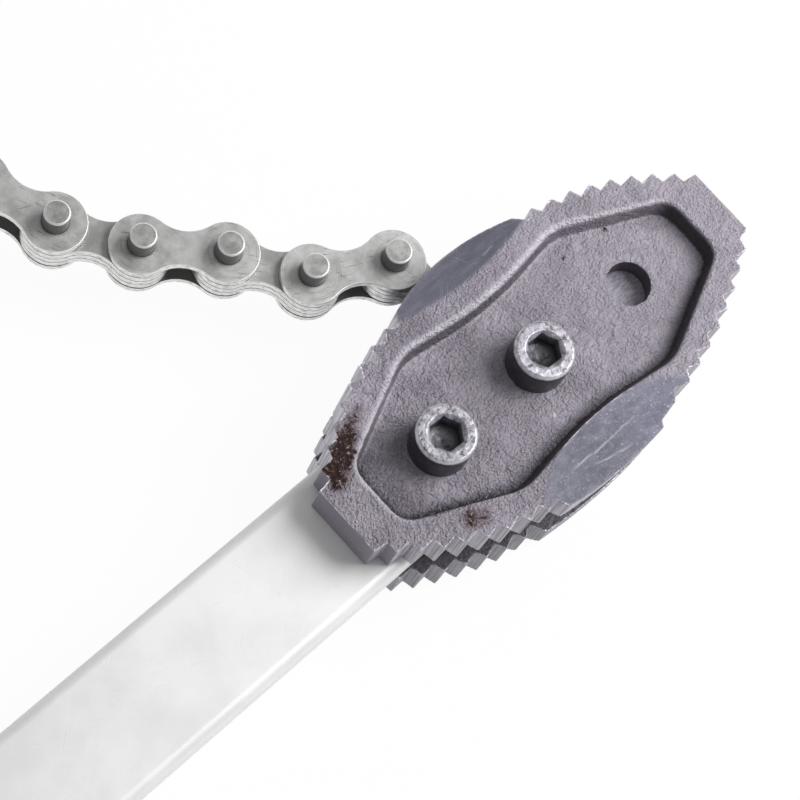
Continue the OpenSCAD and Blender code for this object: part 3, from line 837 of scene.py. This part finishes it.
def jawMasks(mesh, kinds, worn, atLip, atFoot, rustSpots):  # where each colour goes, per point
    places, normals, ends = meshArrays(mesh)
    d, px, py = jawShadingAndDirt, places[:, 0] / mm, places[:, 1] / mm
    masks = {key: np.array([kind == key for kind in kinds], float) for key in ("ground", "flank", "end", "wall")}
    chainSide, hookSide = ramp(py, *d["chainSide"]), ramp(-py, *d["hookSide"])
    byTip, byHandle = chainSide * ramp(px, *d["byTip"]), chainSide * ramp(-px, *d["byHandle"])

    # wall: painted shade and dirt on the recess walls and bores, from below the lip, weaker on the chain side and by
    # the tip
    darkFrom = np.where(worn, d["darkFromWorn"], np.where(px < d["handleFrom"], d["darkFromHandle"], d["darkFromLip"]))
    shadeAndDirt = 1 - d["tipLoss"] * byTip - d["chainLoss"] * (chainSide - byTip - byHandle)
    line = np.exp(-((atLip - d["lineAt"]) / d["lineWidth"]) ** 2)  # a line of painted shade under the lip by the handle
    shadeAndDirt *= 1 - byHandle * (d["handleLoss"] - d["handleLoss"] * line)
    wall = masks["wall"] * ramp(atLip, darkFrom, d["darkWidth"]) * shadeAndDirt
    wall = np.maximum(wall, [d["bore"] * (kind == "bore") for kind in kinds])

    # painted highlight along the lip of the recess: broad where the lip is rubbed round, weaker on the hook side and
    # by the tip, and a painted highlight on the foot's fillet on the chain side
    level, falls = d["wornLip"]
    lip = np.where(worn, np.clip(level - atLip / falls, 0, 1), np.clip(d["lip"] - atLip, 0, 1))
    share, level, falls = d["footLip"]
    lip = np.maximum(lip * (1 - d["hookLip"] * hookSide), share * chainSide * np.clip(level - atFoot / falls, 0, 1))
    lip *= 1 - d["tipLipLoss"] * ramp(px, *d["tipLip"])

    # painted shade with some dirt on the floor along the foot of the recess, at the handle end and wider on the hook
    # side
    foot = np.clip(d["foot"] - atFoot / d["footReach"], 0, 1) * ramp(-px, *d["footFrom"]) * (1 - chainSide)
    wider = np.clip(d["hookFoot"] - atFoot / (d["hookFootWider"] * d["footReach"]), 0, 1)
    foot = np.maximum(foot, wider * hookSide * np.maximum(ramp(-px, *d["hookFootFrom"]), d["hookFootLeast"]))

    rust = np.zeros(len(places))
    for x, y, reach, weight in rustSpots:
        away = np.hypot(places[:, 0] - x * mm, places[:, 1] - y * mm) / (reach * mm)
        spot = weight * np.clip(d["rustFalls"] - away, 0, 1)
        rust = np.maximum(rust, np.where(normals[:, 2] > d["rustUp"], spot, 0))
    masks.update(wall=spread(wall, ends, 1), ground=spread(masks["ground"], ends, d["groundPasses"]),
                 lip=spread(lip, ends, 1), foot=foot, rust=rust,
                 edge=ramp(edgeBend(places, normals, ends), *d["edge"]))
    return masks


def castJaw(node, rustSpots):
    plain = mergedCopy(node)
    machined, (lips, feet) = BVHTree.FromBMesh(plain), recessLines(plain)
    faceNormals = [face.normal.copy() for face in plain.faces]
    mesh = jawSkin(node, plain)
    plain.free()

    shape = bmesh.new()
    shape.from_mesh(mesh)
    kinds = [surfaceKind(vert.co, faceNormals[machined.find_nearest(vert.co)[2]]) for vert in shape.verts]
    lipAway, footAway = (np.array([line.find(vert.co)[2] for vert in shape.verts]) for line in (lips, feet))
    (x0, y0), (x1, y1) = jaw["rubbed"]["from"], jaw["rubbed"]["to"]
    worn = [x0 < vert.co.x / mm < x1 and y0 < vert.co.y / mm < y1 for vert in shape.verts]
    roundRecess(shape, lipAway, footAway, worn)
    shape.to_mesh(mesh)
    shape.free()

    mesh = castLumps(node, mesh, kinds)
    for key, values in jawMasks(mesh, kinds, worn, lipAway / mm, footAway / mm, rustSpots).items():
        mesh.attributes.new(key, "FLOAT", "POINT").data.foreach_set("value", values.astype(np.float32))
    for face in mesh.polygons:
        face.use_smooth = True
    mesh.set_sharp_from_angle(angle=jaw["sharp"])
    print(node, "skin:", sum(len(face.vertices) - 2 for face in mesh.polygons), "triangles")
    return placePiece(mesh, node + "_casting", node, "wrench", jawCasting)


castJaw("front_jaw", jawRust)
castJaw("rear_jaw", ())


# Cap screws, ring by ring
screw = {
    "axes": (-34.5 * mm, -69.0 * mm), "headR": 8.0 * mm, "headH": 10.0 * mm, "sides": 72, "turn": math.radians(-3),
    "head": ((8.0, 0.3), (8.0, 8.9), (7.93, 9.25), (7.72, 9.62), (7.42, 9.88), (7.14, 10.0), (7.0, 10.0),
             (5.3, 10.0), (5.16, 10.0), (5.0, 9.93)),  # radius and height of each ring, in mm
    "mouthR": 5.0 * mm, "mouthDrop": 0.12 * mm, "mouthSlope": 0.75, "flats": 8.0 * mm, "socket": 5.5 * mm,
    "drill": ((3.3, 4.45), (2.2, 3.9), (0.3, 2.95)), "underR": 7.6 * mm,
    "shankR": 5.0 * mm, "threadFrom": -17.0 * mm, "pitch": 1.5 * mm, "threadDepth": 0.55 * mm, "tip": 0.9 * mm,
    "coneH": 4.2 * mm, "coneR": 2.4 * mm, "socketR": 4.9 * mm, "mouthFrom": 9.0 * mm, "topFrom": 9.2 * mm,
    "halfTop": 0.5, "worn": (7.3 * mm, 7.95 * mm, 0.62), "sharp": math.radians(32),
}


def extruded(shape, ring):  # new points and edges of a ring
    made = bmesh.ops.extrude_edge_only(shape, edges=ring)["geom"]
    verts = [item for item in made if isinstance(item, bmesh.types.BMVert)]
    edges = [item for item in made if isinstance(item, bmesh.types.BMEdge) and all(v in made for v in item.verts)]
    return verts, edges


def nextRing(shape, ring, radius, z):
    verts, edges = extruded(shape, ring)
    for vert in verts:
        vert.co = (vert.co.xy.normalized() * radius).to_3d() + Vector((0, 0, z))
    return edges


def capScrew(shape, x, tip):
    start, top, pitch = len(shape.verts), screw["headH"], screw["pitch"]
    first = bmesh.ops.create_circle(shape, segments=screw["sides"], radius=screw["headR"],
                                    matrix=Matrix.Rotation(screw["turn"], 4, "Z"))
    ring = under = list({edge for vert in first["verts"] for edge in vert.link_edges})
    for radius, z in screw["head"]:
        ring = nextRing(shape, ring, radius * mm, z * mm)
    ring = nextRing(shape, ring, screw["mouthR"], top)
    for vert in {v for edge in ring for v in edge.verts}:  # round mouth runs into the hexagon
        turn = (math.atan2(vert.co.y, vert.co.x) - screw["turn"]) % (math.pi / 3) - math.pi / 6
        reach = screw["flats"] / 2 / math.cos(turn)
        z = top - screw["mouthDrop"] - (screw["mouthR"] - reach) * screw["mouthSlope"]
        vert.co = (vert.co.xy.normalized() * reach).to_3d() + Vector((0, 0, z))
    verts, ring = extruded(shape, ring)
    for vert in verts:
        vert.co.z = top - screw["socket"]
    for radius, z in screw["drill"]:
        ring = nextRing(shape, ring, radius * mm, z * mm)
    bmesh.ops.holes_fill(shape, edges=ring)
    ring = nextRing(shape, under, screw["underR"], 0.0)
    ring = nextRing(shape, ring, screw["shankR"], 0.0)
    z = screw["threadFrom"]
    ring = nextRing(shape, ring, screw["shankR"], z)
    while z - pitch > tip + screw["tip"]:
        ring = nextRing(shape, ring, screw["shankR"] - screw["threadDepth"], z - 0.5 * pitch)
        ring = nextRing(shape, ring, screw["shankR"], z - pitch)
        z -= pitch
    ring = nextRing(shape, ring, screw["shankR"] - screw["tip"], tip)
    bmesh.ops.holes_fill(shape, edges=ring)
    shape.verts.ensure_lookup_table()
    bmesh.ops.translate(shape, verts=shape.verts[start:], vec=(x, 0, 0))


def capScrews():
    shape = bmesh.new()
    for x in screw["axes"]:
        capScrew(shape, x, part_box("jaw_screws")[0].z)
    bmesh.ops.remove_doubles(shape, verts=shape.verts[:], dist=making["merge"])
    bmesh.ops.recalc_face_normals(shape, faces=shape.faces[:])
    top, edge, socket = (shape.verts.layers.float.new(name) for name in ("top", "edge", "socket"))
    wornFrom, wornTo, wear = screw["worn"]
    for vert in shape.verts:
        reach, z = min(math.hypot(vert.co.x - x, vert.co.y) for x in screw["axes"]), vert.co.z
        outside = reach > screw["socketR"]
        cone = 0 < z < screw["coneH"] and reach < screw["coneR"]
        mouth = z > screw["mouthFrom"] and reach < screw["socketR"]
        vert[socket] = 0.0 if cone or mouth or outside or z < 0 else 1.0
        # the drill cone at the socket bottom takes half the top's rubbed colour, as a painted highlight
        vert[top] = screw["halfTop"] if mouth or cone else 1.0 if z > screw["topFrom"] and outside else 0.0
        vert[edge] = wear if wornFrom < reach < wornTo and z > screw["mouthFrom"] else 0.0
    for face in shape.faces:
        face.smooth = True
    piece = placePiece(shape, "cap_screws", "jaw_screws", "wrench", screwBlack)
    piece.data.set_sharp_from_angle(angle=screw["sharp"])
    return piece


capScrews()
print("screws made")


# Chain, nuts and handle: softened copies of the machined forms
softened = {
    "plate": 0.14 * mm, "plateRim": 0.28 * mm, "pin": 0.14 * mm, "nut": 0.2 * mm, "handle": 0.35 * mm, "segments": 3,
    "groove": 0.5 * mm, "cutSlope": 0.3, "sideSlope": 0.25, "flatSlope": 0.97,
}


def chainPlates(body, outer):
    node = body + "_plates"
    shape = mergedCopy(node)
    groove, shearedSheen, inside = (shape.faces.layers.float.new(name) for name in ("groove", "shearedSheen", "inside"))
    softEdges(shape, softened["plate"], softened["segments"], softened["plateRim"])
    low, high = (corner.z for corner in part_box(node))
    middle, cut, level = (low + high) / 2, softened["cutSlope"], softened["flatSlope"]
    for face in shape.faces:
        height, slope = face.calc_center_median().z, face.normal.z
        inner = low + softened["groove"] < height < high - softened["groove"]
        face[groove] = float(inner and cut < abs(slope) < level)
        face[shearedSheen] = float(abs(slope) < cut)
        face[inside] = float(abs(slope) > level and (height - middle) * slope < 0)
    start = hinges[body]
    along = (ends[body] - start).normalized()
    across = Vector((-along.y, along.x, 0))
    flat = shape.loops.layers.uv.new("linkPlane")
    for face in shape.faces:
        for loop in face.loops:
            away = loop.vert.co - start
            loop[flat].uv = (away.dot(along), away.dot(across))
    slot, material = ("outer_plate_steel", outerPlateSteel) if outer else ("inner_plate_steel", innerPlateSteel)
    return evenNormals(placePiece(shape, node + "_worn", node, body, material))


def softPiece(node, body, material, width):
    shape = mergedCopy(node)
    side, rim = (shape.faces.layers.float.new(name) for name in ("side", "rim"))
    softEdges(shape, width, softened["segments"])
    for face in shape.faces:
        slope = abs(face.normal.z)
        face[side] = float(slope < softened["sideSlope"])
        face[rim] = float(softened["sideSlope"] < slope < softened["flatSlope"])
    return evenNormals(placePiece(shape, node + "_worn", node, body, material))


hinges = {joint["child"]: Vector(joint["pos_m"]) for joint in frame["joints"]}
bodies = sorted(hinges)  # links, from the fork on
ends = {body: hinges[after] for body, after in zip(bodies, bodies[1:])}
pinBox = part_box(bodies[-1] + "_pins")
ends[bodies[-1]] = pinBox[0] + pinBox[1] - hinges[bodies[-1]]
for body in bodies:
    outer = body + "_pins" in cadNodes
    chainPlates(body, outer)
    if outer:
        softPiece(body + "_pins", body, pinSteel, softened["pin"])
print("chain made")
softPiece("jaw_nuts", "wrench", nutSteel, softened["nut"])
softPiece("anchor_pin", "wrench", pinSteel, softened["pin"])
softPiece("handle", "wrench", handleSteel, softened["handle"])
print("nuts, anchor pin and handle made")


# Stage: white sheet under the wrench, soft light all round, one large lamp
stage = {
    "sheet": 4.0, "white": tint(246, 246, 246), "glow": 0.95, "sheetRough": 0.9, "sheetGloss": 0.1,
    "lampPower": 8.5, "lampSize": 0.7, "lampAway": 0.9, "lampTurn": -28.0, "lampRise": 48.0, "lampAim": (-0.04, 0, 0),
    "sky": 0.4, "lowSky": (0.75, 0.1), "lowGain": 0.25, "farSky": (-0.2, -0.9), "farLoss": 0.4,
}


def makeStage():
    low = min(cadBox[0][2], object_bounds()[0][2])
    shape = bmesh.new()
    bmesh.ops.create_grid(shape, x_segments=1, y_segments=1, size=stage["sheet"],
                          matrix=Matrix.Translation((0, 0, low)))
    mesh = bpy.data.meshes.new("sheet")
    shape.to_mesh(mesh)
    shape.free()
    sheet = bpy.data.objects.new("sheet", mesh)
    scene.collection.objects.link(sheet)
    material, shader, _ = startMaterial("whiteSheet")
    feed(stage["white"], shader["Base Color"])
    feed(stage["sheetRough"], shader["Roughness"])
    feed(stage["sheetGloss"], shader["Specular IOR Level"])
    path = put("LightPath").outputs
    seen = most(path["Is Camera Ray"], path["Is Glossy Ray"], path["Is Transmission Ray"])
    glow = put("Emission", {"Color": (1, 1, 1, 1), "Strength": 1.0}).outputs[0]
    nodes = material.node_tree.nodes
    lit = nodes["Principled BSDF"].outputs[0]
    blend = put("MixShader", {0: times(seen, stage["glow"]), 1: lit, 2: glow})
    feed(blend.outputs[0], nodes["Material Output"].inputs["Surface"])
    mesh.materials.append(material)


def makeLight():
    world = bpy.data.worlds.new("softRoom")
    scene.world = world
    world.use_nodes = True
    bench["tree"] = world.node_tree
    axes = axesOf(put("TexCoord").outputs["Generated"])
    level = plus(1.0, times(fade(axes["Z"], *stage["lowSky"]), stage["lowGain"]))
    level = minus(level, times(fade(axes["X"], *stage["farSky"]), stage["farLoss"]))
    back = world.node_tree.nodes["Background"]
    feed(times(level, stage["sky"]), back.inputs["Strength"])
    feed((1, 1, 1, 1), back.inputs["Color"])
    lampData = bpy.data.lights.new("softLamp", "AREA")
    lampData.shape, lampData.size, lampData.energy = "DISK", stage["lampSize"], stage["lampPower"]
    lamp = bpy.data.objects.new("softLamp", lampData)
    turn, rise = math.radians(stage["lampTurn"]), math.radians(stage["lampRise"])
    away = Vector((math.cos(turn) * math.cos(rise), math.sin(turn) * math.cos(rise), math.sin(rise)))
    lamp.location = Vector(stage["lampAim"]) + away * stage["lampAway"]
    lamp.rotation_euler = away.to_track_quat("Z", "Y").to_euler()
    scene.collection.objects.link(lamp)


makeStage()
makeLight()
print("stage and light set")
